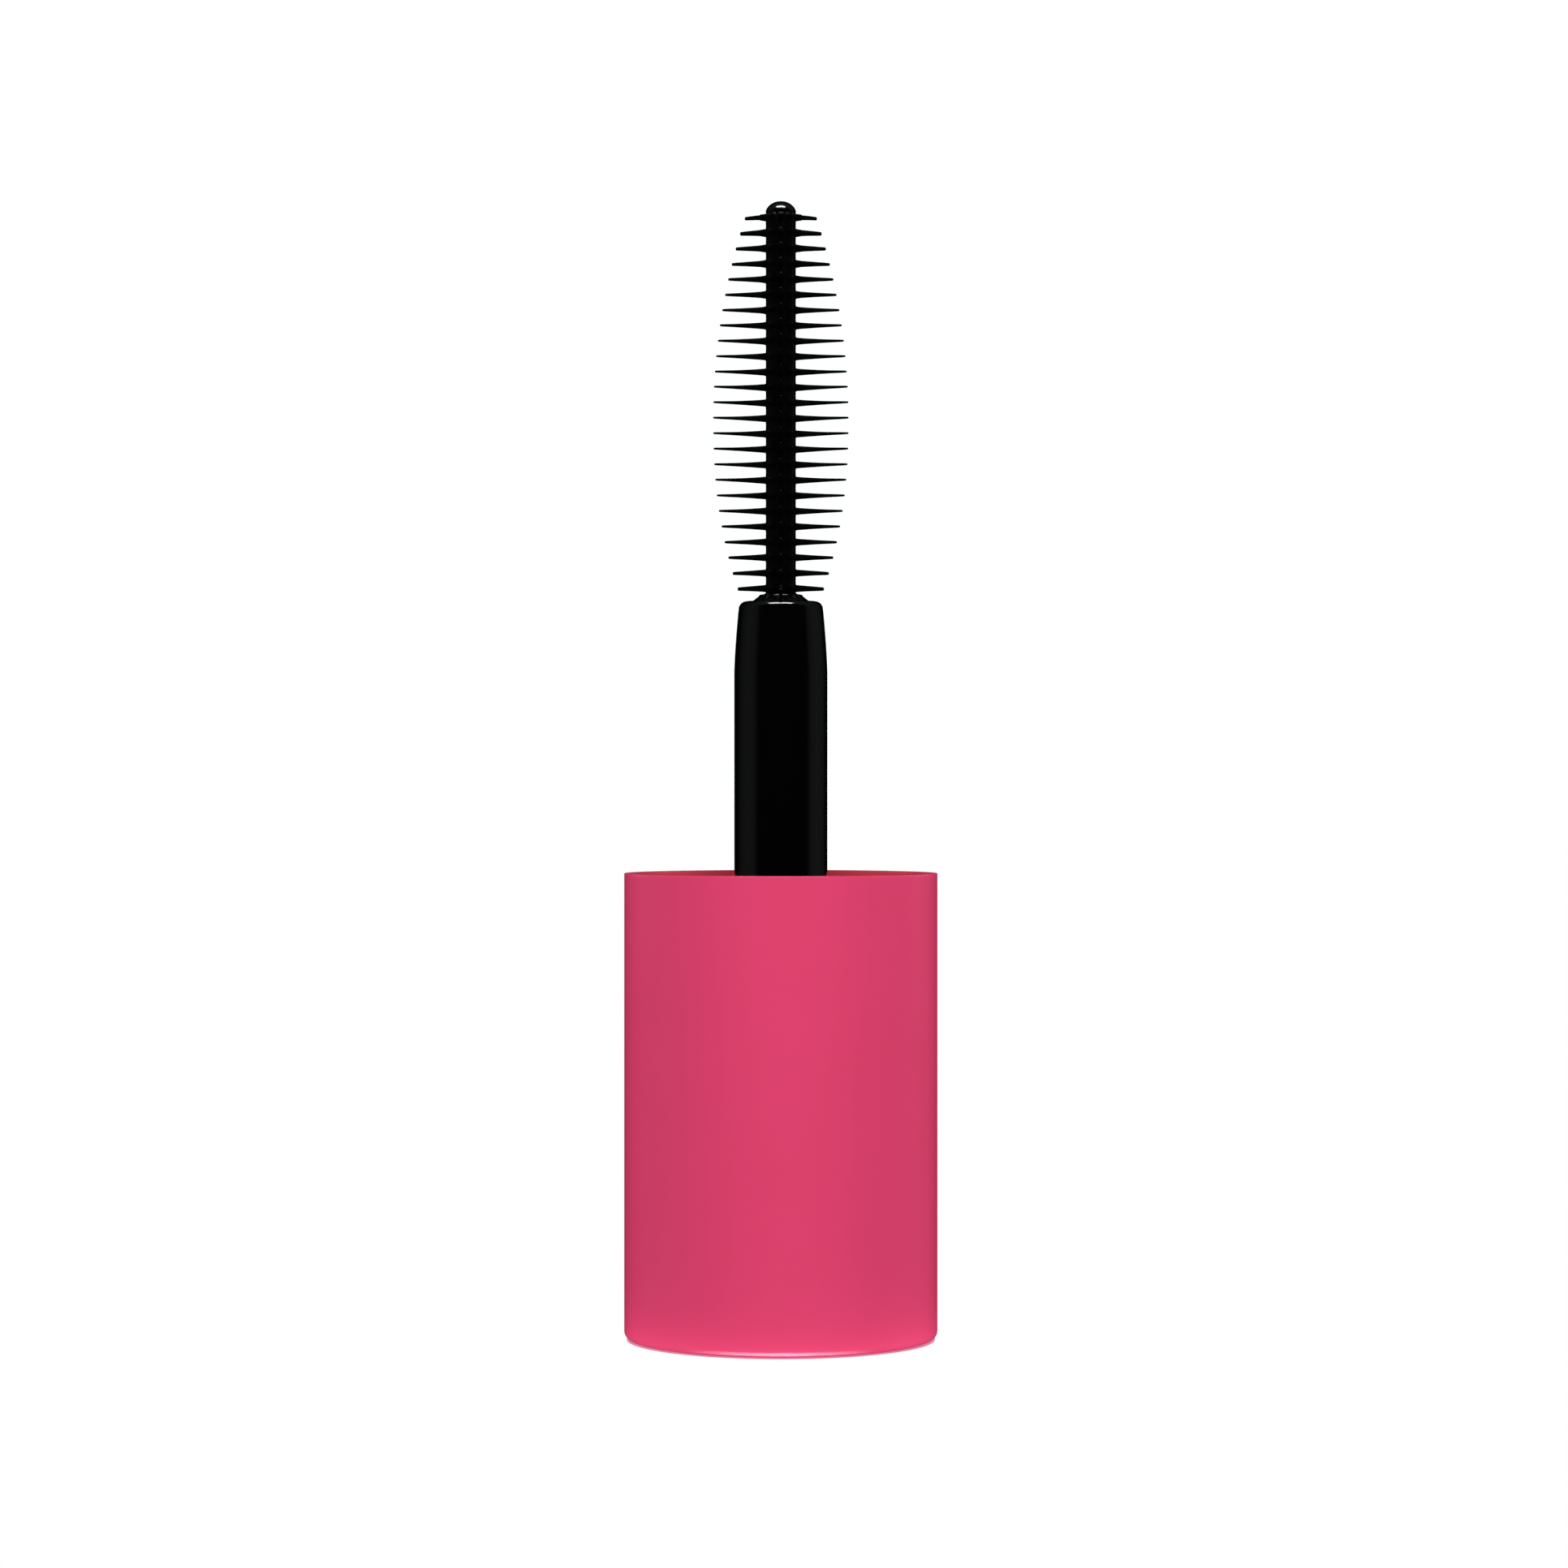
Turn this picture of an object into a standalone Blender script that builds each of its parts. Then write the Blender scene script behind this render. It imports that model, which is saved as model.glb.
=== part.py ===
"""Mascara cap with its wand: a screw cap that carries a rod and a moulded comb brush.

Metres, +Z up. The origin is the centre of the cap's closed end, which the part stands on,
and +Z runs up the rod to the tip of the brush. Every outline is a list of (radius, height)
points in millimetres that is turned about the Z axis.
"""

import math

import bmesh
import bpy
from mathutils import Vector

MM = 0.001

# Driving dimensions, in millimetres
CAP_DIAMETER = 16.0
CAP_HEIGHT = 23.75
ROD_DIAMETER = 4.75
ROD_TOP = 37.63
BRUSH_DIAMETER = 6.88
BRUSH_TIP = 58.08
FIT_GAP = 0.05

# Overshell
CAP_RADIUS = CAP_DIAMETER / 2
CAP_WALL = 0.9
CAP_END = 1.2
CAP_FOOT_FILLET = 0.4
CAP_RIM_EDGE = 0.12
CAP_BORE = CAP_RADIUS - CAP_WALL

# Threaded liner
SPLINE_RADIUS = CAP_BORE - FIT_GAP
SPLINE_HEIGHT = 0.35
SPLINE_BOTTOM = 2.4
SPLINE_TOP = 20.2
LINER_RADIUS = SPLINE_RADIUS - SPLINE_HEIGHT
LINER_BORE = 5.85
LINER_MOUTH = CAP_HEIGHT - 0.8
LINER_COLLAR = 1.0
LINER_LEAD_IN = 0.3
LINER_FOOT = CAP_END + FIT_GAP
WEB_BOTTOM = 12.3
SEAT = 13.6
SOCKET_RADIUS = 3.9
SOCKET_FOOT = 5.5
SKIRT_BORE = 5.95

# Thread inside the liner
THREAD_PITCH = 2.4
THREAD_TURNS = 1.75
THREAD_START = 17.0
THREAD_DEPTH = 0.55
THREAD_ROOT_WIDTH = 1.15
THREAD_CREST_WIDTH = 0.45
THREAD_BITE = 0.25

# Rod
ROD_RADIUS = ROD_DIAMETER / 2
ROD_TOP_RADIUS = 2.115
TAPER_BOTTOM = 33.9
TAPER_POWER = 1.45
SHOULDER_FILLET = 0.34
FLANGE_RADIUS = 5.2
FLANGE_THICKNESS = 0.8
PLUG_RADIUS = 2.82
BARB_RADIUS = 3.15
BARB_HEIGHT = 1.0
BARB_LAND = 0.2
BARB_NOSE_RADIUS = 2.57
ROD_CORING = 1.45
CORING_TOP = 30.0
CORING_CHAMFER = 0.5
BRUSH_BORE = 1.16
BRUSH_BORE_FOOT = 31.5

# Sealing washer
SEAL_THICKNESS = 0.8
SEAL_RADIUS = 5.35
SEAL_EDGE = 0.12

# Brush core
BRUSH_PLUG = BRUSH_BORE - FIT_GAP
PLUG_NECK = BRUSH_PLUG - 0.12
PLUG_NOSE = BRUSH_PLUG - 0.35
PLUG_FOOT = BRUSH_BORE_FOOT + 0.4
PLUG_BARBS = 3
PLUG_BARB_START = PLUG_FOOT + 0.45
PLUG_BARB_HEIGHT = 0.8
PLUG_BARB_PITCH = 1.5
FACE_GAP = 0.03
COLLAR_FOOT = ROD_TOP + FACE_GAP
COLLAR_RADIUS = 1.43
COLLAR_TOP_RADIUS = 1.12
COLLAR_TOP = 37.96
CORE_RADIUS = 0.45
DOME_RADIUS = 0.775
DOME_HEIGHT = 0.51
DOME_RISE_POWER = 1.45
DOME_ROUND_POWER = 2.25
DOME_STEPS = 6

# Bristle sleeve
SLEEVE_RADIUS = 0.787
SLEEVE_BORE = CORE_RADIUS + FIT_GAP
SLEEVE_FOOT = 38.06
SLEEVE_TOP = 57.52
RING_COUNT = 25
FIRST_RING = 38.29
RING_PITCH = 0.79
SPIKES_PER_RING = 12
LONG_SPIKE_EVERY = 3
SPIKE_ROOT_HEIGHT = 0.4
SPIKE_ROOT_ANGLE = math.radians(21)
SPIKE_TIP_SCALE = 0.4
SPIKE_TIP_LIFT = 0.04
SHORT_SPIKE_LENGTH = 0.42

# The brush's outline: its widest height, and how far and how fast it falls off above and below
ENVELOPE_MIDDLE = 46.8
ENVELOPE_ABOVE = 15.1
ENVELOPE_ABOVE_POWER = 2.05
ENVELOPE_BELOW = 13.2
ENVELOPE_BELOW_POWER = 2.3

# Facets round each turned piece
CAP_FACETS = 72
LINER_FACETS = 36
ROD_FACETS = 36
CORE_FACETS = 24
THREAD_FACETS_PER_TURN = 36


def clear_scene():
    """Remove whatever the file opened with."""
    for thing in list(bpy.data.objects):
        bpy.data.objects.remove(thing, do_unlink=True)


def plastic(name, colour, roughness):
    """A Principled material for one moulding."""
    material = bpy.data.materials.new(name)
    material.use_nodes = True
    shader = material.node_tree.nodes["Principled BSDF"]
    shader.inputs["Base Color"].default_value = (*colour, 1.0)
    shader.inputs["Roughness"].default_value = roughness
    shader.inputs["Metallic"].default_value = 0.0
    material.diffuse_color = (*colour, 1.0)
    return material


def place(name, mesh_builder, material):
    """Turn a finished bmesh into the named object of one piece."""
    mesh = bpy.data.meshes.new(name)
    bmesh.ops.recalc_face_normals(mesh_builder, faces=mesh_builder.faces)
    mesh_builder.to_mesh(mesh)
    mesh_builder.free()
    mesh.materials.append(material)
    mesh.shade_smooth()
    mesh.set_sharp_from_angle(angle=math.radians(30))
    piece = bpy.data.objects.new(name, mesh)
    bpy.context.collection.objects.link(piece)
    return piece


def arc(centre_radius, centre_height, radius, start, end, steps):
    """Points of an arc in the outline's plane, from start to end in degrees."""
    points = []
    for step in range(steps + 1):
        angle = math.radians(start + (end - start) * step / steps)
        points.append((centre_radius + radius * math.cos(angle),
                       centre_height + radius * math.sin(angle)))
    return points


def turned(outline, facets, closed):
    """Spin an outline about the Z axis; a closed outline is a ring's section."""
    builder = bmesh.new()
    rim = [builder.verts.new((radius * MM, 0.0, height * MM)) for radius, height in outline]
    edges = [builder.edges.new(pair) for pair in zip(rim, rim[1:])]
    if closed:
        edges.append(builder.edges.new((rim[-1], rim[0])))
    bmesh.ops.spin(builder, geom=rim + edges, cent=(0, 0, 0), axis=(0, 0, 1),
                   angle=math.tau, steps=facets, use_merge=True)
    bmesh.ops.remove_doubles(builder, verts=builder.verts, dist=1e-7)
    return builder


def make_outer_cap(material):
    """Overshell: a plain cup with a filleted foot and a slightly broken rim."""
    outline = [(0.0, 0.0)]
    outline += arc(CAP_RADIUS - CAP_FOOT_FILLET, CAP_FOOT_FILLET, CAP_FOOT_FILLET, -90, 0, 4)
    outline += arc(CAP_RADIUS - CAP_RIM_EDGE, CAP_HEIGHT - CAP_RIM_EDGE, CAP_RIM_EDGE, 0, 90, 2)
    outline += [
        (CAP_BORE + CAP_RIM_EDGE, CAP_HEIGHT),
        (CAP_BORE, CAP_HEIGHT - CAP_RIM_EDGE),
        (CAP_BORE, CAP_END),
        (0.0, CAP_END),
    ]
    return place("outer_cap", turned(outline, CAP_FACETS, closed=False), material)


def raise_splines(builder):
    """Draw every second facet of the liner's side outwards, so that it grips the overshell."""
    builder.faces.ensure_lookup_table()
    middle = (SPLINE_BOTTOM + SPLINE_TOP) / 2 * MM
    side = []
    for face in builder.faces:
        centre = face.calc_center_median()
        outside = math.hypot(centre.x, centre.y) > (LINER_BORE + LINER_RADIUS) / 2 * MM
        if outside and abs(centre.z - middle) < MM:
            side.append(face)
    side.sort(key=lambda face: math.atan2(face.calc_center_median().y, face.calc_center_median().x))
    for face in bmesh.ops.extrude_discrete_faces(builder, faces=side[::2])["faces"]:
        for vert in face.verts:
            flat = Vector((vert.co.x, vert.co.y, 0.0))
            vert.co += flat.normalized() * SPLINE_HEIGHT * MM


def thread_ridge():
    """The thread's ridge as a closed body that starts inside the liner's wall."""
    builder = bmesh.new()
    wall = LINER_BORE + THREAD_BITE
    crest = LINER_BORE - THREAD_DEPTH
    section = [
        (wall, -THREAD_ROOT_WIDTH / 2),
        (LINER_BORE, -THREAD_ROOT_WIDTH / 2),
        (crest, -THREAD_CREST_WIDTH / 2),
        (crest, THREAD_CREST_WIDTH / 2),
        (LINER_BORE, THREAD_ROOT_WIDTH / 2),
        (wall, THREAD_ROOT_WIDTH / 2),
    ]
    steps = round(THREAD_TURNS * THREAD_FACETS_PER_TURN)
    loops = []
    for step in range(steps + 1):
        turn = step / THREAD_FACETS_PER_TURN
        angle = math.tau * (turn + 0.5 / THREAD_FACETS_PER_TURN)
        height = THREAD_START + turn * THREAD_PITCH
        loops.append([builder.verts.new((radius * math.cos(angle) * MM,
                                         radius * math.sin(angle) * MM,
                                         (height + offset) * MM)) for radius, offset in section])
    for lower, upper in zip(loops, loops[1:]):
        for corner, _ in enumerate(section):
            following = (corner + 1) % len(section)
            builder.faces.new((lower[corner], lower[following], upper[following], upper[corner]))
    builder.faces.new(loops[0])
    builder.faces.new(loops[-1])
    return builder


def make_inner_cap(material):
    """Threaded liner: splined sleeve, web with the washer's seat, and the rod's socket."""
    outline = [
        (LINER_BORE, LINER_MOUTH - LINER_LEAD_IN),
        (LINER_BORE + LINER_LEAD_IN, LINER_MOUTH),
        (SPLINE_RADIUS, LINER_MOUTH),
        (SPLINE_RADIUS, LINER_MOUTH - LINER_COLLAR),
        (LINER_RADIUS, LINER_MOUTH - LINER_COLLAR - SPLINE_HEIGHT),
        (LINER_RADIUS, SPLINE_TOP),
        (LINER_RADIUS, SPLINE_BOTTOM),
        (LINER_RADIUS, LINER_FOOT),
        (SKIRT_BORE, LINER_FOOT),
        (SKIRT_BORE, WEB_BOTTOM),
        (SOCKET_RADIUS, WEB_BOTTOM),
        (SOCKET_RADIUS, SOCKET_FOOT),
        (PLUG_RADIUS + FIT_GAP, SOCKET_FOOT),
        (PLUG_RADIUS + FIT_GAP, SEAT),
        (LINER_BORE, SEAT),
    ]
    builder = turned(outline, LINER_FACETS, closed=True)
    raise_splines(builder)
    liner = place("inner_cap", builder, material)
    ridge = place("thread_ridge", thread_ridge(), material)
    ridge.hide_render = True
    ridge.display_type = "WIRE"
    union = liner.modifiers.new("thread", "BOOLEAN")
    union.operation = "UNION"
    union.solver = "EXACT"
    union.object = ridge
    return liner


def make_neck_seal(material):
    """Sealing washer round the rod, above the rod's flange."""
    foot = SEAT + FIT_GAP + FLANGE_THICKNESS + FIT_GAP
    top = foot + SEAL_THICKNESS
    bore = ROD_RADIUS + FIT_GAP
    outline = [
        (bore, foot),
        (SEAL_RADIUS - SEAL_EDGE, foot),
        (SEAL_RADIUS, foot + SEAL_EDGE),
        (SEAL_RADIUS, top - SEAL_EDGE),
        (SEAL_RADIUS - SEAL_EDGE, top),
        (bore, top),
    ]
    return place("neck_seal", turned(outline, LINER_FACETS, closed=True), material)


def rod_taper(steps):
    """Points down the rod's gently curved taper, from the shoulder to the straight part."""
    top = ROD_TOP - SHOULDER_FILLET
    points = []
    for step in range(steps + 1):
        share = 1 - step / steps
        radius = ROD_RADIUS - (ROD_RADIUS - ROD_TOP_RADIUS) * share ** TAPER_POWER
        points.append((radius, TAPER_BOTTOM + (top - TAPER_BOTTOM) * share))
    return points


def make_rod(material):
    """Rod: brush bore on top, tapered shoulder, flange, snap plug, and cored from below."""
    flange_foot = SEAT + FIT_GAP
    flange_top = flange_foot + FLANGE_THICKNESS
    barb_top = SOCKET_FOOT - FIT_GAP
    barb_foot = barb_top - BARB_HEIGHT
    outline = [(0.0, BRUSH_BORE_FOOT), (BRUSH_BORE, BRUSH_BORE_FOOT), (BRUSH_BORE, ROD_TOP)]
    outline += arc(ROD_TOP_RADIUS - SHOULDER_FILLET, ROD_TOP - SHOULDER_FILLET,
                   SHOULDER_FILLET, 90, 0, 3)[:-1]
    outline += rod_taper(6)
    outline += [
        (ROD_RADIUS, flange_top),
        (FLANGE_RADIUS, flange_top),
        (FLANGE_RADIUS, flange_foot),
        (PLUG_RADIUS, flange_foot),
        (PLUG_RADIUS, barb_top),
        (BARB_RADIUS, barb_top),
        (BARB_RADIUS, barb_top - BARB_LAND),
        (BARB_NOSE_RADIUS, barb_foot),
        (ROD_CORING, barb_foot),
        (ROD_CORING, CORING_TOP - CORING_CHAMFER),
        (ROD_CORING - CORING_CHAMFER, CORING_TOP),
        (0.0, CORING_TOP),
    ]
    return place("rod", turned(outline, ROD_FACETS, closed=False), material)


def dome_outline(steps):
    """Points up the blunt domed tip, from its edge to its middle."""
    points = []
    for step in range(steps + 1):
        share = math.sin(math.pi / 2 * step / steps)
        radius = DOME_RADIUS * (1 - share ** DOME_RISE_POWER) ** (1 / DOME_ROUND_POWER)
        points.append((radius, BRUSH_TIP - DOME_HEIGHT * (1 - share)))
    return points


def make_brush_core(material):
    """Brush core: barbed plug, collar, thin core that carries the sleeve, and domed tip."""
    outline = [(0.0, PLUG_FOOT), (PLUG_NOSE, PLUG_FOOT)]
    for barb in range(PLUG_BARBS):
        start = PLUG_BARB_START + barb * PLUG_BARB_PITCH
        end = start + PLUG_BARB_HEIGHT
        outline += [(PLUG_NECK, start), (BRUSH_PLUG, end), (PLUG_NECK, end)]
    outline += [
        (PLUG_NECK, COLLAR_FOOT),
        (COLLAR_RADIUS, COLLAR_FOOT),
        (COLLAR_TOP_RADIUS, COLLAR_TOP),
        (CORE_RADIUS, SLEEVE_FOOT - FACE_GAP),
        (CORE_RADIUS, SLEEVE_TOP + FACE_GAP),
    ]
    outline += dome_outline(DOME_STEPS)
    return place("brush_core", turned(outline, CORE_FACETS, closed=False), material)


def envelope_radius(height):
    """Radius of the brush's rounded outline at a height."""
    offset = height - ENVELOPE_MIDDLE
    if offset > 0:
        fall = (offset / ENVELOPE_ABOVE) ** ENVELOPE_ABOVE_POWER
    else:
        fall = (-offset / ENVELOPE_BELOW) ** ENVELOPE_BELOW_POWER
    return BRUSH_DIAMETER / 2 * (1 - fall)


def sleeve_loops(builder):
    """Rings of vertices up the sleeve, with a band for each ring of spikes."""
    heights = [SLEEVE_FOOT]
    for ring in range(RING_COUNT):
        middle = FIRST_RING + ring * RING_PITCH
        heights += [middle - SPIKE_ROOT_HEIGHT / 2, middle + SPIKE_ROOT_HEIGHT / 2]
    heights.append(SLEEVE_TOP)
    angles = []
    for spike in range(SPIKES_PER_RING):
        middle = math.tau * spike / SPIKES_PER_RING
        angles += [middle - SPIKE_ROOT_ANGLE / 2, middle + SPIKE_ROOT_ANGLE / 2]
    stations = [(SLEEVE_RADIUS, height) for height in heights]
    stations += [(SLEEVE_BORE, SLEEVE_TOP), (SLEEVE_BORE, SLEEVE_FOOT)]
    return [[builder.verts.new((radius * math.cos(angle) * MM,
                                radius * math.sin(angle) * MM,
                                height * MM)) for angle in angles]
            for radius, height in stations]


def make_bristle_sleeve(material):
    """Sleeve with its spikes: on each band every second facet is drawn out to a spike."""
    builder = bmesh.new()
    loops = sleeve_loops(builder)
    roots = []
    for index, lower in enumerate(loops):
        upper = loops[(index + 1) % len(loops)]
        band, on_band = divmod(index - 1, 2)
        for column, _ in enumerate(lower):
            following = (column + 1) % len(lower)
            face = builder.faces.new((lower[column], lower[following], upper[following], upper[column]))
            if on_band == 0 and 0 <= band < RING_COUNT and column % 2 == 0:
                roots.append((band, column // 2, face))
    for band, spike, root in roots:
        draw_spike(builder, root, FIRST_RING + band * RING_PITCH, spike)
    return place("bristle_sleeve", builder, material)


def draw_spike(builder, root, height, spike):
    """Extrude one facet of the sleeve to a tapered spike; every third spike is a long one."""
    reach = envelope_radius(height)
    if spike % LONG_SPIKE_EVERY:
        reach = SLEEVE_RADIUS + SHORT_SPIKE_LENGTH
    angle = math.tau * spike / SPIKES_PER_RING
    tip = Vector((reach * math.cos(angle), reach * math.sin(angle), height + SPIKE_TIP_LIFT)) * MM
    face = bmesh.ops.extrude_discrete_faces(builder, faces=[root])["faces"][0]
    middle = face.calc_center_median()
    for vert in face.verts:
        vert.co = tip + (vert.co - middle) * SPIKE_TIP_SCALE


def main():
    clear_scene()
    pink = plastic("pink_plastic", (0.68, 0.05, 0.13), 0.4)
    black = plastic("black_plastic", (0.012, 0.012, 0.013), 0.25)
    liner_black = plastic("liner_plastic", (0.02, 0.02, 0.022), 0.45)
    washer_grey = plastic("washer_rubber", (0.5, 0.5, 0.48), 0.7)
    bristle_black = plastic("bristle_elastomer", (0.012, 0.012, 0.012), 0.4)
    make_outer_cap(pink)
    make_inner_cap(liner_black)
    make_neck_seal(washer_grey)
    make_rod(black)
    make_brush_core(black)
    make_bristle_sleeve(bristle_black)


main()
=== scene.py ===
import math
import random
from collections import namedtuple

import bmesh
import bpy
from bpy.props import FloatProperty, FloatVectorProperty, IntProperty, PointerProperty
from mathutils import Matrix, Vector


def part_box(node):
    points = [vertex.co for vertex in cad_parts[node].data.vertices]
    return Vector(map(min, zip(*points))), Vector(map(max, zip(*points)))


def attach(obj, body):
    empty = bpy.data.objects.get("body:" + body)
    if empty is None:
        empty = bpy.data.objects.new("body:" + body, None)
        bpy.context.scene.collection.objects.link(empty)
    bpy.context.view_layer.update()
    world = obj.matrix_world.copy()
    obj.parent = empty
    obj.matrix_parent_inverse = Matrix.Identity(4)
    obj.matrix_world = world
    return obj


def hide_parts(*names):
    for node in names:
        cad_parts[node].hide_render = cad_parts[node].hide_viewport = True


bl_info = {
    "name": "Mascara cap and wand",
    "version": (1, 0, 0),
    "blender": (4, 5, 0),
    "location": "View3D > Sidebar > Mascara",
    "description": "Models a mascara cap with its wand, its plastics and a plain studio",
    "category": "Add Mesh",
}

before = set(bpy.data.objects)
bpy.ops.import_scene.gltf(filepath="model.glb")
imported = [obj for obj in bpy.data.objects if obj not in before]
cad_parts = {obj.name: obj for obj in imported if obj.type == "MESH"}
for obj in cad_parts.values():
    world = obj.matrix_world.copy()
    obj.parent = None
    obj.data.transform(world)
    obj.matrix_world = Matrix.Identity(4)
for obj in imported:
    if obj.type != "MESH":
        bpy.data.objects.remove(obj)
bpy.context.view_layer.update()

MM = 0.001
PLACE_TOLERANCE = 0.004 * MM
MERGE_DISTANCE = 0.0005 * MM
SECTION_TOLERANCE = 0.1 * MM
SMOOTH_ANGLE = math.radians(38)
LEVEL_NORMAL = 0.999

WASHER_FACETS = 96
ROD_FACETS = 128
CORE_FACETS = 64
THREAD_STEPS_PER_TURN = 72
THREAD_RUN_OUT_STEPS = 8
TAPER_STEPS = 14
DOME_STEPS = 14
TIP_RADIUS = 0.01 * MM
LONG_SPIKE_STEPS = (0.3, 0.65, 1.0)
LIFT_SEED = 7

TINT_FROM, TINT_TO = 0.35, 0.65
NOISE_LOW, NOISE_HIGH = 0.3, 0.7
MIX_FIRST_COLOUR, MIX_SECOND_COLOUR, MIX_COLOUR_RESULT = 6, 7, 2
BLACK = (0, 0, 0, 1)
WHITE = (1, 1, 1, 1)

TABLE_FACETS = 96
TABLE_RADIUS = 6.0
TABLE_DEPTH = 0.02 * MM
RING_FACETS = 192
SENSOR_WIDTH = 36
CLIP_START = 10 * MM

Bump = namedtuple("Bump", "noise depth strength")
Lamp = namedtuple("Lamp", "name spot target size radiance rays")
PanelStop = namedtuple("PanelStop", "position brightness")

# Places and sizes in millimetres; rays says which kind of ray sees the lamp.
LAMPS = (
    Lamp("front_fill", spot=(20, -306, 269), target=(0, 0, 30), size=(260, 200), radiance=8.5,
         rays="diffuse"),
    Lamp("side_fill", spot=(-306, 257, 120), target=(0, 0, 30), size=(200, 200), radiance=9.3,
         rays="diffuse"),
    Lamp("side_fill", spot=(306, 257, 120), target=(0, 0, 30), size=(200, 200), radiance=9.3,
         rays="diffuse"),
    Lamp("overhead_box", spot=(0, -58, 238), target=(0, -58, 0), size=(165, 62), radiance=24.0,
         rays="glossy"),
)

# What glossy plastic reflects at the sides, from the front (0) to the back (1).
PANEL_STOPS = (
    PanelStop(0.27, 0.0),
    PanelStop(0.36, 0.085),
    PanelStop(0.45, 0.1),
    PanelStop(0.56, 0.095),
    PanelStop(0.68, 0.065),
    PanelStop(0.78, 0.035),
    PanelStop(0.88, 0.0),
)
PANEL_TURN = math.radians(-5)
ROOM_TINT = (1, 1.08, 1.05, 1)


# Sizes and colours

def length(name, description, millimetres):
    """A size property, shown in the scene's length unit."""
    return FloatProperty(name=name, description=description, default=millimetres * MM,
                         min=0.0, subtype="DISTANCE", unit="LENGTH", precision=5)


def ratio(name, description, value, least=1.0):
    """A number without a unit."""
    return FloatProperty(name=name, description=description, default=value, min=least)


def count(name, description, value, least=1):
    """A whole number."""
    return IntProperty(name=name, description=description, default=value, min=least)


def colour(name, description, value):
    """A linear colour property."""
    return FloatVectorProperty(name=name, description=description, default=value,
                               min=0.0, max=1.0, subtype="COLOR", size=3)


class OvershellSizes(bpy.types.PropertyGroup):
    wall: length("Wall", "Thickness of the side wall", 0.9)
    end: length("End", "Thickness of the closed end", 1.2)
    foot_fillet: length("Foot fillet", "Radius of the edge that the cap stands on", 0.4)
    rim_edge: length("Rim edge", "Radius of the rim's two edges", 0.03)
    floor_fillet: length("Floor fillet", "Radius in the corner of the cap's inside", 0.35)
    gate_radius: length("Gate radius", "Radius of the moulding gate's dimple under the cap", 0.55)
    gate_depth: length("Gate depth", "Depth of the moulding gate's dimple", 0.08)
    loop_margin: length("Loop margin", "From the rounded edges to the level loops", 0.15)
    disc_border: length("Disc border", "Width of the border inset on the end's disc", 0.2)
    around: count("Around", "Facets round the cap", 192, 24)


class LinerSizes(bpy.types.PropertyGroup):
    bore: length("Bore", "Radius of the bore at the thread's root", 5.85)
    wall_radius: length("Wall radius", "Outer radius between the splines", 6.7)
    skirt_bore: length("Skirt bore", "Radius inside the skirt below the web", 5.95)
    socket_radius: length("Socket radius", "Outer radius of the rod's socket", 3.9)
    socket_bore: length("Socket bore", "Radius inside the rod's socket", 2.87)
    socket_foot: length("Socket foot", "Height of the socket's lower end", 5.5)
    web_bottom: length("Web bottom", "Height of the underside of the web", 12.3)
    seat: length("Seat", "Height of the seat that the rod's flange rests on", 13.6)
    collar: length("Collar", "Height of the full-width collar at the mouth", 1.0)
    edge: length("Edge", "Width of the bevels on the mouth and the seat", 0.18)
    lead_in: length("Lead in", "Width of the bevel where the bottle's neck goes in", 0.27)
    spline_bottom: length("Spline bottom", "Height where the splines begin", 2.4)
    spline_top: length("Spline top", "Height where the splines end", 20.2)
    thread_start: length("Thread start", "Height of the thread's first turn", 17.0)
    thread_pitch: length("Thread pitch", "Rise of the thread in one turn", 2.4)
    thread_depth: length("Thread depth", "Height of the thread's ridge", 0.55)
    thread_root: length("Thread root", "Width of the ridge at its root", 1.15)
    thread_crest: length("Thread crest", "Width of the ridge at its crest", 0.45)
    thread_bite: length("Thread bite", "How deep the ridge sits in the wall", 0.25)
    thread_turns: ratio("Thread turns", "Turns of the thread", 1.75, 0.5)
    splines: count("Splines", "Splines round the liner", 18, 3)
    around: count("Around", "Facets round the liner", 144, 24)


class WasherSizes(bpy.types.PropertyGroup):
    bore: length("Bore", "Radius of the hole round the rod", 2.425)
    edge: length("Edge", "Radius of the soft edges", 0.14)
    groove_radius: length("Groove radius", "Radius of the ring that the bottle's lip presses in", 4.35)
    groove_width: length("Groove width", "Width of that ring", 0.7)
    groove_depth: length("Groove depth", "Depth of that ring", 0.06)
    groove_slope: length("Groove slope", "Width of that ring's sloping sides", 0.12)


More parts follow.
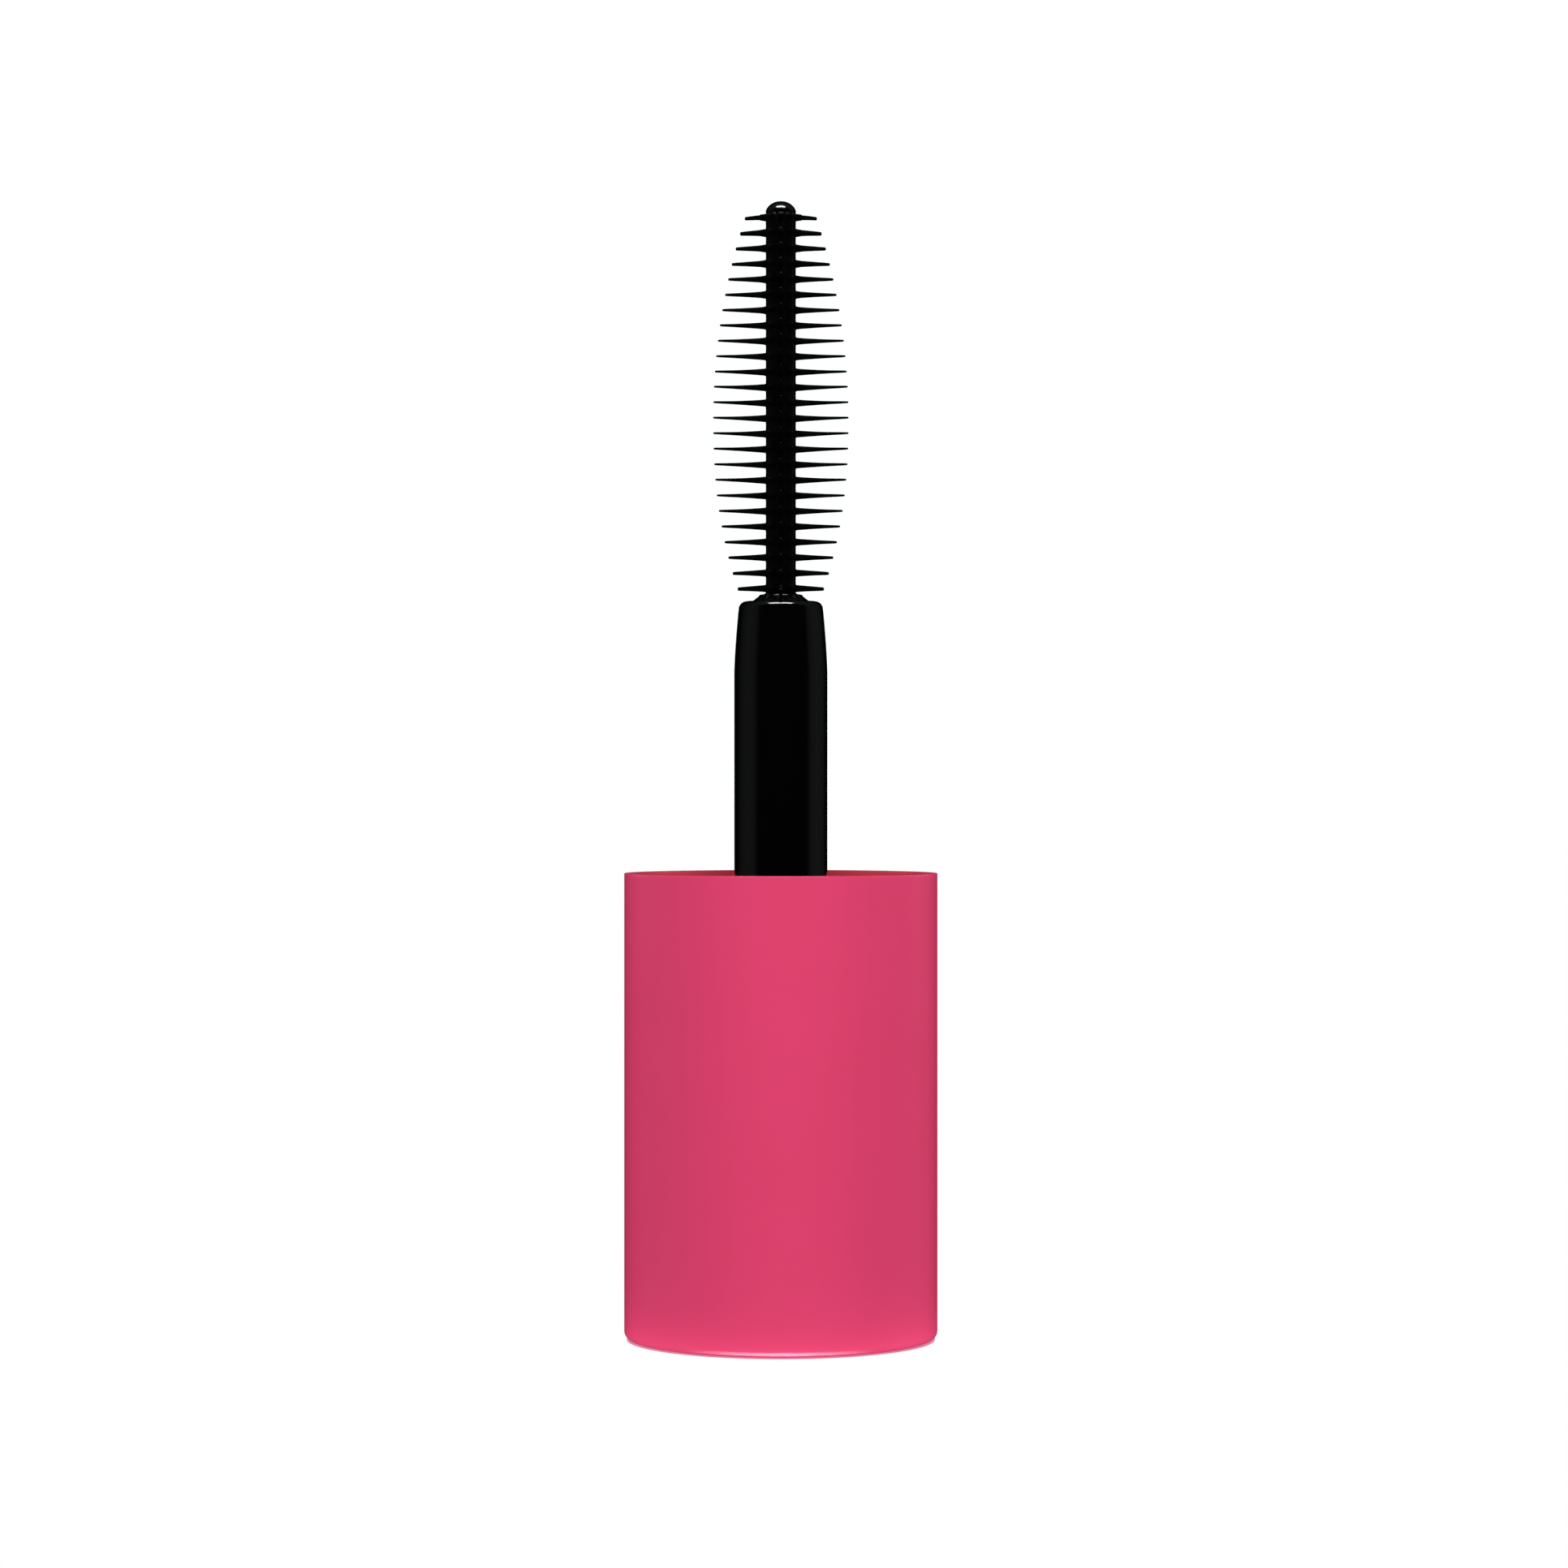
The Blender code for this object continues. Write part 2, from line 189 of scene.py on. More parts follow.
class RodSizes(bpy.types.PropertyGroup):
    radius: length("Radius", "Radius of the straight part", 2.375)
    top_radius: length("Top radius", "Radius at the shoulder", 2.115)
    taper_bottom: length("Taper bottom", "Height where the taper begins", 33.9)
    shoulder: length("Shoulder", "Radius of the shoulder's fillet", 0.34)
    flange_foot: length("Flange foot", "Height of the flange's underside", 13.65)
    flange_thickness: length("Flange thickness", "Thickness of the flange", 0.8)
    plug_radius: length("Plug radius", "Radius of the plug in the liner's socket", 2.82)
    barb_radius: length("Barb radius", "Radius of the snap barb under the socket", 3.15)
    barb_top: length("Barb top", "Height of the barb's upper face", 5.45)
    coring: length("Coring", "Radius of the hollow from below", 1.45)
    coring_top: length("Coring top", "Height of the hollow's end", 30.0)
    brush_bore: length("Brush bore", "Radius of the bore for the brush", 1.16)
    brush_bore_foot: length("Brush bore foot", "Height of that bore's end", 31.5)
    barb_land: length("Barb land", "Height of the barb's straight part", 0.2)
    plug_draft: length("Plug draft", "How much narrower the plug's nose is", 0.25)
    coring_chamfer: length("Coring chamfer", "Width of the chamfer at the hollow's end", 0.5)
    bore_edge: length("Bore edge", "Radius of the edge of the brush's bore", 0.06)
    flange_edge: length("Flange edge", "Radius of the flange's edges", 0.12)
    flange_fillet: length("Flange fillet", "Radius in the corner above the flange", 0.04)
    seam: length("Seam", "How far the mould's parting lines stand proud", 0.008)
    seam_foot: length("Seam foot", "From the flange to the lower end of the parting lines", 0.3)
    seam_head: length("Seam head", "From the top to the upper end of the parting lines", 0.51)
    taper_power: ratio("Taper power", "How the taper curves in", 1.45)


class BrushSizes(bpy.types.PropertyGroup):
    plug: length("Plug", "Radius of the barbs in the rod's bore", 1.11)
    plug_neck: length("Plug neck", "Radius between the barbs", 0.99)
    plug_draft: length("Plug draft", "How much narrower the plug's nose is than its neck", 0.2)
    barb_start: length("Barb start", "From the plug's nose to the first barb", 0.45)
    barb_rise: length("Barb rise", "Height of a barb's slope", 0.75)
    barb_height: length("Barb height", "Height of a barb", 0.8)
    barb_pitch: length("Barb pitch", "Distance between barbs", 1.5)
    collar_foot: length("Collar foot", "Height of the collar's underside", 37.66)
    collar_top: length("Collar top", "Height of the collar's upper edge", 37.96)
    collar_top_radius: length("Collar top radius", "Radius of the collar's upper edge", 1.12)
    collar_land: length("Collar land", "Height of the straight part below that edge", 0.06)
    collar_edge: length("Collar edge", "Rounding of that edge", 0.05)
    collar_rise: length("Collar rise", "How far the collar's top rises towards the sleeve", 0.04)
    collar_ledge: length("Collar ledge", "How far that rise stops short of the sleeve", 0.08)
    seat_gap: length("Seat gap", "Gap between the sleeve's ends and the core", 0.01)
    core: length("Core", "Radius of the core inside the sleeve", 0.45)
    dome: length("Dome", "Radius of the domed tip", 0.775)
    dome_height: length("Dome height", "Height of the domed tip", 0.51)
    sleeve: length("Sleeve", "Outer radius of the sleeve between the spikes", 0.79)
    sleeve_bore: length("Sleeve bore", "Radius inside the sleeve", 0.5)
    first_ring: length("First ring", "Height of the lowest ring of spikes", 38.29)
    ring_pitch: length("Ring pitch", "Distance between rings of spikes", 0.79)
    root_height: length("Root height", "Height of a spike's fillet where it meets the sleeve", 0.40)
    spike_height: length("Spike height", "Height of a spike just outside its fillet", 0.365)
    tip_height: length("Tip height", "Height of the longest spike at its tip", 0.115)
    nose: length("Nose", "Length of the rounded end of a spike", 0.05)
    short_length: length("Short length", "Length of the short spikes", 0.42)
    lift: length("Lift", "How far the tips rise at the middle of the brush", 0.05)
    lift_reach: length("Lift reach", "From the middle to where the tips are level", 6.5)
    lift_scatter: length("Lift scatter", "How unevenly the tips rise", 0.008)
    sleeve_edge: length("Sleeve edge", "Width of the narrow bands at the sleeve's ends", 0.03)
    middle: length("Middle", "Height where the brush is widest", 46.8)
    reach_above: length("Reach above", "Fall-off length of the outline above the middle", 15.1)
    reach_below: length("Reach below", "Fall-off length of the outline below the middle", 13.2)
    power_above: ratio("Power above", "Fall-off power above the middle", 2.05)
    power_below: ratio("Power below", "Fall-off power below the middle", 2.3)
    taper_power: ratio("Taper power", "How the spikes' taper hollows", 1.65)
    lift_power: ratio("Lift power", "How the rise of the tips falls off", 1.5)
    last_slim: ratio("Last slim", "Thickness of the top ring's spikes, as a share", 0.8, 0.1)
    nose_inset: ratio("Nose inset", "Narrowing of a spike's nose, as a share", 0.2, 0.0)
    stub_shoulder: ratio("Stub shoulder", "Middle step of a short spike, as a share", 0.6, 0.0)
    stub_taper: ratio("Stub taper", "Reach of a short spike's taper, as a share", 1.3)
    dome_rise: ratio("Dome rise", "How straight the dome's flank is", 1.45)
    dome_round: ratio("Dome round", "How blunt the dome's top is", 2.25)
    root_angle: FloatProperty(name="Root angle", description="Width of a spike's root round the sleeve",
                              default=math.radians(28), subtype="ANGLE")
    barbs: count("Barbs", "Barbs on the plug", 3)
    rings: count("Rings", "Rings of spikes", 25)
    spikes: count("Spikes", "Spikes in a ring", 12, 3)
    long_every: count("Long every", "One spike in this many is a long one", 3)


class Finishes(bpy.types.PropertyGroup):
    pink: colour("Pink", "The overshell's colour", (0.735, 0.052, 0.152))
    pink_shade: colour("Pink shade", "The overshell's deeper pink", (0.724, 0.051, 0.148))
    # Painted shade: a darker, redder pink that stands in for the shade inside the overshell.
    bore_painted_shade: colour("Pink bore", "The redder pink inside the overshell", (0.64, 0.052, 0.075))
    rod_black: colour("Rod black", "The rod's and the core's black", (0.0004, 0.0004, 0.0004))
    bristle_black: colour("Bristle black", "The sleeve's black", (0.0008, 0.0008, 0.0008))
    liner_black: colour("Liner black", "The liner's black", (0.012, 0.012, 0.013))
    washer_grey: colour("Washer grey", "The washer's grey", (0.55, 0.54, 0.51))
    # Painted shadow: the pink contact shadow that the light table shows in front of the cap's foot.
    contact_shadow_pink: colour("Contact pink", "The light table's tint under the cap", (0.70, 0.22, 0.33))
    floor_white: colour("Floor white", "The light table's white", (1.0, 1.0, 1.0))


class StudioSizes(bpy.types.PropertyGroup):
    camera_distance: length("Camera distance", "From the cap's axis to the camera", 218.4)
    camera_height: length("Camera height", "Height of the level camera", 28.3)
    camera_aside: length("Camera aside", "How far the camera stands to the right", 0.162)
    lens: FloatProperty(name="Lens", description="Focal length", default=98.1, min=1.0, unit="CAMERA")


# Modelling by hand, in steps

def deselect():
    """Go back to object mode with nothing selected."""
    if bpy.context.mode != "OBJECT":
        bpy.ops.object.mode_set(mode="OBJECT")
    bpy.ops.object.select_all(action="DESELECT")


def settle(name):
    """Name the new object, put its place into its mesh and open it for editing."""
    bpy.ops.object.transform_apply(location=True, rotation=True, scale=True)
    piece = bpy.context.object
    piece.name = name
    piece.data.name = name
    bpy.ops.object.mode_set(mode="EDIT")
    bpy.ops.mesh.select_all(action="SELECT")
    return piece


def lathe(name, outline, around, solid, turn=0.0):
    """Draw a circle along an outline of (radius, height) points by extruding and resizing it."""
    radius, height = outline[0]
    deselect()
    bpy.ops.mesh.primitive_circle_add(vertices=around, radius=radius, location=(0, 0, height),
                                      rotation=(0, 0, turn), fill_type="NGON" if solid else "NOTHING")
    piece = settle(name)
    for next_radius, next_height in outline[1:]:
        bpy.ops.mesh.extrude_region_move(TRANSFORM_OT_translate={"value": (0, 0, next_height - height)})
        share = next_radius / radius
        bpy.ops.transform.resize(value=(share, share, 1), center_override=(0, 0, 0))
        radius, height = next_radius, next_height
    return piece


def pick(piece, kind, test):
    """Select the vertices, edges or faces of the open mesh that pass a test, and nothing else."""
    bpy.ops.mesh.select_mode(type=kind)
    bpy.ops.mesh.select_all(action="DESELECT")
    open_mesh = bmesh.from_edit_mesh(piece.data)
    group = {"VERT": open_mesh.verts, "EDGE": open_mesh.edges, "FACE": open_mesh.faces}[kind]
    for item in group:
        item.select_set(test(item))
    open_mesh.select_flush_mode()
    bmesh.update_edit_mesh(piece.data)


def from_axis(point):
    """Distance of a point from the Z axis."""
    return math.hypot(point.x, point.y)


def bearing(point):
    """Angle of a point round the Z axis."""
    return math.atan2(point.y, point.x)


def round_edge(piece, radius, height, width, segments):
    """Bevel the circular edge at one radius and height."""
    def on_circle(edge):
        return all(abs(from_axis(vert.co) - radius) < PLACE_TOLERANCE
                   and abs(vert.co.z - height) < PLACE_TOLERANCE for vert in edge.verts)
    pick(piece, "EDGE", on_circle)
    bpy.ops.mesh.bevel(offset=width, segments=segments, affect="EDGES", clamp_overlap=False)


def add_loops(piece, heights):
    """Cut level loops, which keep the shading of long walls clear of the rounded edges."""
    for height in heights:
        pick(piece, "FACE", lambda face: True)
        bpy.ops.mesh.bisect(plane_co=(0, 0, height), plane_no=(0, 0, 1))


def weld():
    """Merge what touches in the open mesh and turn its faces outwards."""
    bpy.ops.mesh.select_all(action="SELECT")
    bpy.ops.mesh.remove_doubles(threshold=MERGE_DISTANCE)
    bpy.ops.mesh.normals_make_consistent(inside=False)


def close_up(piece):
    """Finish the open mesh: weld it and shade the piece."""
    bpy.ops.mesh.select_mode(type="VERT")
    weld()
    shade(piece)


def single_out(piece):
    """Leave edit mode with only this piece selected and active."""
    deselect()
    piece.select_set(True)
    bpy.context.view_layer.objects.active = piece


def shade(piece):
    """Shade the piece smooth up to the sharp edges."""
    single_out(piece)
    bpy.ops.object.shade_smooth_by_angle(angle=SMOOTH_ANGLE)


def apply_modifier(piece, modifier):
    """Apply one modifier to its piece."""
    single_out(piece)
    bpy.ops.object.modifier_apply(modifier=modifier.name)


def fit_out(piece, material, node):
    """Give a finished piece its material and its place in the frame."""
    piece.data.materials.clear()
    piece.data.materials.append(material)
    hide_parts(node)
    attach(piece, "root")


# Materials

def begin_material(name):
    """A new node material and its main shader."""
    material = bpy.data.materials.new(name)
    material.use_nodes = True
    return material, material.node_tree.nodes["Principled BSDF"]


def set_inputs(node, values):
    """Set the values of a node's open inputs."""
    for socket, value in values.items():
        node.inputs[socket].default_value = value


def add_node(owner, kind, values=None, **settings):
    """A new node of a material or a world, with its settings and the values of its open inputs."""
    node = owner.node_tree.nodes.new(kind)
    for key, value in settings.items():
        setattr(node, key, value)
    set_inputs(node, values or {})
    return node


def link(start, outlet, end, inlet):
    """Wire one node's outlet to another node's inlet."""
    start.id_data.links.new(start.outputs[outlet], end.inputs[inlet])


def add_noise(material, scale, detail, stretch=(1, 1, 1)):
    """A noise pattern on object coordinates; its scale is in features per metre."""
    place = add_node(material, "ShaderNodeTexCoord")
    mapping = add_node(material, "ShaderNodeMapping", {"Scale": stretch})
    noise = add_node(material, "ShaderNodeTexNoise", {"Scale": scale, "Detail": detail})
    link(place, "Object", mapping, "Vector")
    link(mapping, "Vector", noise, "Vector")
    return noise


def scale_tone(tone, factor):
    """The same hue, darker or lighter."""
    return tuple(factor * channel for channel in tone)


def tint(material, shader, noise, first, second):
    """Colour the shader between two tones by a noise."""
    ramp = add_node(material, "ShaderNodeValToRGB")
    for element, position, tone in zip(ramp.color_ramp.elements, (TINT_FROM, TINT_TO), (first, second)):
        element.position = position
        element.color = (*tone, 1)
    link(noise, "Fac", ramp, "Fac")
    link(ramp, "Color", shader, "Base Color")


def roughen(material, shader, noise, low, high):
    """Vary the shader's roughness between two values by a noise."""
    spread = add_node(material, "ShaderNodeMapRange", {"From Min": NOISE_LOW, "From Max": NOISE_HIGH,
                                                       "To Min": low, "To Max": high})
    link(noise, "Fac", spread, "Value")
    link(spread, "Result", shader, "Roughness")


def emboss(material, shader, *patterns):
    """Chain bumps, one on top of the other."""
    below = None
    for pattern in patterns:
        bump = add_node(material, "ShaderNodeBump",
                        {"Distance": pattern.depth, "Strength": pattern.strength})
        link(pattern.noise, "Fac", bump, "Height")
        if below:
            link(below, "Normal", bump, "Normal")
        below = bump
    link(below, "Normal", shader, "Normal")


def blend_outwards(material, near, inner, outer, centre=(0, 0, 0), easing="LINEAR"):
    """A colour mix that leaves the near colour between two distances from an upright axis."""
    place = add_node(material, "ShaderNodeTexCoord")
    flat = add_node(material, "ShaderNodeVectorMath", {1: (1, 1, 0)}, operation="MULTIPLY")
    away = add_node(material, "ShaderNodeVectorMath", {1: centre}, operation="DISTANCE")
    fade = add_node(material, "ShaderNodeMapRange", {"From Min": inner, "From Max": outer},
                    interpolation_type=easing)
    blend = add_node(material, "ShaderNodeMix", {MIX_FIRST_COLOUR: (*near, 1)}, data_type="RGBA")
    link(place, "Object", flat, 0)
    link(flat, "Vector", away, 0)
    link(away, "Value", fade, "Value")
    link(fade, "Result", blend, "Factor")
    return blend


def paint_bore_shade(material, shader, painted_shade_tone, inner, outer):
    """Paint shade inside the overshell: turn the shader's tinted base colour to a darker, redder pink
    there.
    """
    blend = blend_outwards(material, painted_shade_tone, inner, outer)
    link(shader.inputs["Base Color"].links[0].from_node, "Color", blend, MIX_SECOND_COLOUR)
    link(blend, MIX_COLOUR_RESULT, shader, "Base Color")


def pink_plastic(finishes):
    """Satin pink: spark-eroded grain, faint drag lines up the wall and a little cloudiness."""
    material, shader = begin_material("satin_pink_plastic")
    cloud = add_noise(material, scale=260, detail=3)
    drag = add_noise(material, scale=1500, detail=2, stretch=(1, 1, 0.03))
    grain = add_noise(material, scale=9000, detail=3)
    tint(material, shader, cloud, finishes.pink_shade, finishes.pink)
    # Painted shade: the inside of the overshell gets a darker, redder pink where it lies in shade.
    paint_bore_shade(material, shader, finishes.bore_painted_shade, inner=7.3 * MM, outer=7.8 * MM)
    roughen(material, shader, drag, low=0.21, high=0.24)
    emboss(material, shader, Bump(drag, depth=0.003 * MM, strength=0.05),
           Bump(grain, depth=0.004 * MM, strength=0.3))
    shader.inputs["Specular IOR Level"].default_value = 0.18
    return material


def gloss_black(finishes):
    """Glossy black of the rod: slow flow waves and a few hairlines in the polish."""
    material, shader = begin_material("gloss_black_plastic")
    flow = add_noise(material, scale=220, detail=2, stretch=(1, 1, 0.3))
    polish = add_noise(material, scale=5000, detail=4, stretch=(1, 1, 0.05))
    tint(material, shader, flow, finishes.rod_black, scale_tone(finishes.rod_black, 1.6))
    roughen(material, shader, polish, low=0.10, high=0.17)
    emboss(material, shader, Bump(flow, depth=0.02 * MM, strength=0.12),
           Bump(polish, depth=0.001 * MM, strength=0.1))
    return material


def bristle_black(finishes):
    """Soft satin black of the moulded bristles."""
    material, shader = begin_material("satin_black_elastomer")
    bloom = add_noise(material, scale=1200, detail=3)
    grain = add_noise(material, scale=16000, detail=3)
    tint(material, shader, bloom, finishes.bristle_black, scale_tone(finishes.bristle_black, 2.0))
    roughen(material, shader, bloom, low=0.28, high=0.36)
    emboss(material, shader, Bump(grain, depth=0.003 * MM, strength=0.3))
    shader.inputs["Specular IOR Level"].default_value = 0.12
    return material


def liner_black(finishes):
    """Plain black of the liner, as it leaves the mould."""
    material, shader = begin_material("moulded_black_plastic")
    flow = add_noise(material, scale=500, detail=3)
    grain = add_noise(material, scale=7000, detail=3)
    tint(material, shader, flow, finishes.liner_black, scale_tone(finishes.liner_black, 1.5))
    roughen(material, shader, flow, low=0.36, high=0.5)
    emboss(material, shader, Bump(grain, depth=0.004 * MM, strength=0.3))
    return material


def washer_foam(finishes):
    """Pale grey closed-cell foam of the sealing washer."""
    material, shader = begin_material("washer_foam")
    cloud = add_noise(material, scale=700, detail=3)
    cells = add_noise(material, scale=6000, detail=2)
    tint(material, shader, cloud, scale_tone(finishes.washer_grey, 0.82), finishes.washer_grey)
    roughen(material, shader, cells, low=0.7, high=0.85)
    emboss(material, shader, Bump(cells, depth=0.02 * MM, strength=0.5))
    return material


def light_table(finishes):
    """White top of the light table, with a thin pink contact shadow painted in front of the cap's foot.
    """
    material, shader = begin_material("light_table")
    # Painted shadow: the contact pink fades to white just outside the foot, a little towards the front.
    blend = blend_outwards(material, finishes.contact_shadow_pink, inner=7.8 * MM, outer=7.93 * MM,
                           centre=(0, -0.2 * MM, 0), easing="SMOOTHSTEP")
    blend.inputs[MIX_SECOND_COLOUR].default_value = (*finishes.floor_white, 1)
    link(blend, MIX_COLOUR_RESULT, shader, "Emission Color")
    set_inputs(shader, {"Base Color": BLACK, "Emission Strength": 1.0, "Specular IOR Level": 0.0})
    return material


def table_glow(name, strength, far_strength, half_width):
    """Bright rim of the light table round the cap, changing to another strength at both sides."""
    material, shader = begin_material(name)
    place = add_node(material, "ShaderNodeTexCoord")
    split = add_node(material, "ShaderNodeSeparateXYZ")
    aside = add_node(material, "ShaderNodeMath", operation="ABSOLUTE")
    fade = add_node(material, "ShaderNodeMapRange",
                    {"From Max": half_width, "To Min": strength, "To Max": far_strength},
                    interpolation_type="SMOOTHSTEP")
    link(place, "Object", split, "Vector")
    link(split, "X", aside, 0)
    link(aside, "Value", fade, "Value")
    link(fade, "Result", shader, "Emission Strength")
    set_inputs(shader, {"Base Color": BLACK, "Emission Color": WHITE})
    return material


# Pieces

class MASCARA_OT_overshell(bpy.types.Operator):
    """Pink overshell: a cup with a filleted foot, closed below and open above"""
    bl_idname = "mascara.overshell"
    bl_label = "Overshell"

    def execute(self, context):
        sizes = context.scene.mascara_overshell
        _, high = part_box("outer_cap")
        radius, height = high.x, high.z
        deselect()
        bpy.ops.mesh.primitive_cylinder_add(vertices=sizes.around, radius=radius, depth=height,
                                            location=(0, 0, height / 2))
        cup = settle("overshell")
        pick(cup, "FACE", lambda face: face.calc_center_median().z > height - PLACE_TOLERANCE)
        bpy.ops.mesh.inset(thickness=sizes.wall)
        bpy.ops.mesh.extrude_region_move(TRANSFORM_OT_translate={"value": (0, 0, sizes.end - height)})
        bore = radius - sizes.wall
        round_edge(cup, radius, 0.0, sizes.foot_fillet, segments=8)
        round_edge(cup, radius, height, sizes.rim_edge, segments=4)
        round_edge(cup, bore, height, sizes.rim_edge, segments=4)
        round_edge(cup, bore, sizes.end, sizes.floor_fillet, segments=4)
        add_loops(cup, (sizes.foot_fillet + sizes.loop_margin,
                        height - sizes.rim_edge - sizes.loop_margin))
        self.dimple_gate(cup, radius - sizes.foot_fillet, sizes)
        close_up(cup)
        fit_out(cup, pink_plastic(context.scene.mascara_finishes), "outer_cap")
        return {"FINISHED"}

    @staticmethod
    def dimple_gate(cup, disc_radius, sizes):
        """Inset the end's disc and press in the small mark that the mould's gate leaves."""
        pick(cup, "FACE", lambda face: face.calc_center_median().z < PLACE_TOLERANCE
             and abs(face.normal.z) > LEVEL_NORMAL)
        bpy.ops.mesh.inset(thickness=sizes.disc_border)
        bpy.ops.mesh.inset(thickness=disc_radius - sizes.disc_border - sizes.gate_radius)
        bpy.ops.mesh.inset(thickness=sizes.gate_depth)
        bpy.ops.transform.translate(value=(0, 0, sizes.gate_depth))


class MASCARA_OT_liner(bpy.types.Operator):
    """Threaded liner: splined sleeve, seat for the flange, socket for the rod and the thread"""
    bl_idname = "mascara.liner"
    bl_label = "Liner"

    def execute(self, context):
        sizes = context.scene.mascara_liner
        low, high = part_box("inner_cap")
        crest, mouth, foot = high.x, high.z, low.z
        step = crest - sizes.wall_radius
        outline = [
            (sizes.bore, mouth),
            (crest, mouth),
            (crest, mouth - sizes.collar),
            (sizes.wall_radius, mouth - sizes.collar - step),
            (sizes.wall_radius, sizes.spline_top),
            (sizes.wall_radius, sizes.spline_bottom),
            (sizes.wall_radius, foot),
            (sizes.skirt_bore, foot),
            (sizes.skirt_bore, sizes.web_bottom),
            (sizes.socket_radius, sizes.web_bottom),
            (sizes.socket_radius, sizes.socket_foot),
            (sizes.socket_bore, sizes.socket_foot),
            (sizes.socket_bore, sizes.seat),
            (sizes.bore, sizes.seat),
            (sizes.bore, mouth),
        ]
        liner = lathe("liner", outline, sizes.around, solid=False)
        weld()
        self.raise_splines(liner, sizes, step)
        round_edge(liner, sizes.bore, mouth, sizes.lead_in, segments=4)
        round_edge(liner, crest, mouth, sizes.edge, segments=3)
        round_edge(liner, sizes.bore, sizes.seat, sizes.edge, segments=3)
        close_up(liner)
        self.cut_in_thread(liner, self.wind_thread(sizes))
        fit_out(liner, liner_black(context.scene.mascara_finishes), "inner_cap")
        return {"FINISHED"}

    @staticmethod
    def raise_splines(liner, sizes, step):
        """Draw evenly spaced strips of the side outwards."""
        middle = (sizes.spline_bottom + sizes.spline_top) / 2
        share = math.tau / sizes.splines

        def on_spline(face):
            centre = face.calc_center_median()
            outside = from_axis(centre) > (sizes.bore + sizes.wall_radius) / 2
            return outside and abs(centre.z - middle) < MM and bearing(centre) % share < share / 2

        pick(liner, "FACE", on_spline)
        bpy.ops.mesh.extrude_region_shrink_fatten(TRANSFORM_OT_shrink_fatten={"value": step})

    @staticmethod
    def wind_thread(sizes):
        """Wind the ridge's section up a helix, and let both ends run out into the wall."""
        deselect()
        bpy.ops.mesh.primitive_plane_add(size=1, location=(0, 0, 0), rotation=(math.pi / 2, 0, 0))
        ridge = settle("thread_ridge")
        bpy.ops.transform.resize(value=(sizes.thread_depth + sizes.thread_bite, 1, sizes.thread_root))
        middle = sizes.bore + (sizes.thread_bite - sizes.thread_depth) / 2
        bpy.ops.transform.translate(value=(middle, 0, sizes.thread_start))
        pick(ridge, "VERT", lambda vert: vert.co.x < middle)
        bpy.ops.transform.resize(value=(1, 1, sizes.thread_crest / sizes.thread_root),
                                 center_override=(middle, 0, sizes.thread_start))
        bpy.ops.mesh.select_all(action="SELECT")
        bpy.ops.mesh.delete(type="ONLY_FACE")
        deselect()
        screw = ridge.modifiers.new("helix", "SCREW")
        screw.angle = math.tau * sizes.thread_turns
        screw.screw_offset = sizes.thread_pitch * sizes.thread_turns
        screw.steps = round(THREAD_STEPS_PER_TURN * sizes.thread_turns)
        screw.render_steps = screw.steps
        screw.use_merge_vertices = False
        apply_modifier(ridge, screw)
        bpy.ops.object.mode_set(mode="EDIT")
        bpy.ops.mesh.select_mode(type="EDGE")
        bpy.ops.mesh.select_all(action="DESELECT")
        bpy.ops.mesh.select_non_manifold()
        bpy.ops.mesh.edge_face_add()
        weld()
        push = sizes.thread_depth + sizes.thread_bite / 2
        for step in range(THREAD_RUN_OUT_STEPS):
            share = 1 - step / THREAD_RUN_OUT_STEPS
            from_end = step / THREAD_STEPS_PER_TURN
            for turn in (from_end, sizes.thread_turns - from_end):
                way = Vector((math.cos(math.tau * turn), math.sin(math.tau * turn), 0))
                height = sizes.thread_start + sizes.thread_pitch * turn

                def on_section(vert):
                    radius = from_axis(vert.co)
                    return (radius < sizes.bore and abs(vert.co.z - height) < sizes.thread_root
                            and (way.xy * radius - vert.co.xy).length < SECTION_TOLERANCE)

                pick(ridge, "VERT", on_section)
                bpy.ops.transform.translate(value=share * push * way)
        deselect()
        return ridge

    @staticmethod
    def cut_in_thread(liner, ridge):
        """Join the ridge to the liner as one body."""
        union = liner.modifiers.new("thread", "BOOLEAN")
        union.operation = "UNION"
        union.solver = "EXACT"
        union.object = ridge
        apply_modifier(liner, union)
        shade(liner)
        bpy.data.objects.remove(ridge)


class MASCARA_OT_washer(bpy.types.Operator):
    """Sealing washer round the rod, with the faint ring that a bottle's lip presses in it"""
    bl_idname = "mascara.washer"
    bl_label = "Washer"

    def execute(self, context):
        sizes = context.scene.mascara_washer
        low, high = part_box("neck_seal")
        outer, foot, top = high.x, low.z, high.z
        half = sizes.groove_width / 2
        outline = [
            (sizes.bore, foot),
            (outer, foot),
            (outer, top),
            (sizes.groove_radius + half + sizes.groove_slope, top),
            (sizes.groove_radius + half, top - sizes.groove_depth),
            (sizes.groove_radius - half, top - sizes.groove_depth),
            (sizes.groove_radius - half - sizes.groove_slope, top),
            (sizes.bore, top),
            (sizes.bore, foot),
        ]
        washer = lathe("washer", outline, WASHER_FACETS, solid=False)
        weld()
        for radius, height in ((outer, top), (outer, foot), (sizes.bore, top)):
            round_edge(washer, radius, height, sizes.edge, segments=4)
        close_up(washer)
        fit_out(washer, washer_foam(context.scene.mascara_finishes), "neck_seal")
        return {"FINISHED"}


